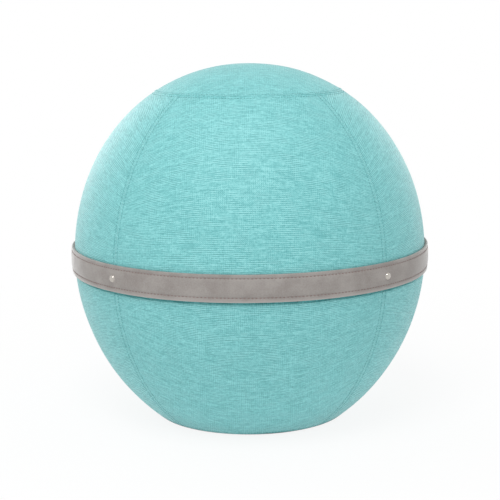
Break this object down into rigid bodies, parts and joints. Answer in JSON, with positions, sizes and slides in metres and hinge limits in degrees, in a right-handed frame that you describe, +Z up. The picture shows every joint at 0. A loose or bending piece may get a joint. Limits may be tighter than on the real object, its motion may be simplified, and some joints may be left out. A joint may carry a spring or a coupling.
{
  "type": "sitting ball",
  "caption": "Round sitting ball on a flat weighted base: an air bladder in a zipped cover of sewn fabric panels, with a riveted carrying belt round its middle.",
  "frame": {"origin": "on the floor, under the centre of the ball, in the plane of the base panel's underside", "axes": "+Z up along the ball's axis, front of the ball towards -Y, zip at the back towards +Y"},
  "size_m": [0.5596, 0.5602, 0.55],
  "materials": {
    "cover_fabric": "matte",
    "base_cloth": "matte",
    "leatherette": "satin",
    "belt_lining": "matte",
    "nickel": "polished",
    "bladder_vinyl": "satin",
    "plug_vinyl": "satin",
    "ballast": "matte",
    "zip_tape": "matte",
    "zip_teeth": "satin",
    "zip_metal": "satin"
  },
  "bodies": {
    "ball": {"ballast_ring": "ballast", "belt_lining": "belt_lining", "belt_strap": "leatherette", "bladder": "bladder_vinyl", "cover_back_panel": "cover_fabric", "cover_base_panel": "base_cloth", "cover_front_panel": "cover_fabric", "cover_left_panel": "cover_fabric", "cover_right_panel": "cover_fabric", "cover_top_panel": "cover_fabric", "rivet_cap_back_left": "nickel", "rivet_cap_back_right": "nickel", "rivet_cap_front_left": "nickel", "rivet_cap_front_right": "nickel", "rivet_post_back_left": "nickel", "rivet_post_back_right": "nickel", "rivet_post_front_left": "nickel", "rivet_post_front_right": "nickel", "zip_end_stop": "zip_metal", "zip_lower_stop": "zip_metal", "zip_lower_tape": "zip_tape", "zip_lower_teeth": "zip_teeth", "zip_upper_stop": "zip_metal", "zip_upper_tape": "zip_tape", "zip_upper_teeth": "zip_teeth"},
    "slider": {"zip_slider": "zip_metal"},
    "pull_tab": {"zip_pull_tab": "zip_metal"},
    "plug": {"valve_plug": "plug_vinyl"}
  },
  "joints": [
    {"name": "zip_slide", "type": "hinge", "parent": "ball", "child": "slider", "pos_m": [0, 0, 0.01434], "axis": [0, 0, 1], "range_deg": [0, 122], "deforming": ["zip_upper_teeth", "zip_lower_teeth", "zip_upper_tape", "zip_lower_tape"]},
    {"name": "pull_tab_swing", "type": "hinge", "parent": "slider", "child": "pull_tab", "pos_m": [0.14507, 0.07659, 0.01098], "axis": [-0.6765, -0.3572, -0.644], "range_deg": [0, 170]},
    {"name": "plug_pull", "type": "slide", "parent": "ball", "child": "plug", "axis": [0, 0, -1], "range_m": [0, 0.015]}
  ]
}
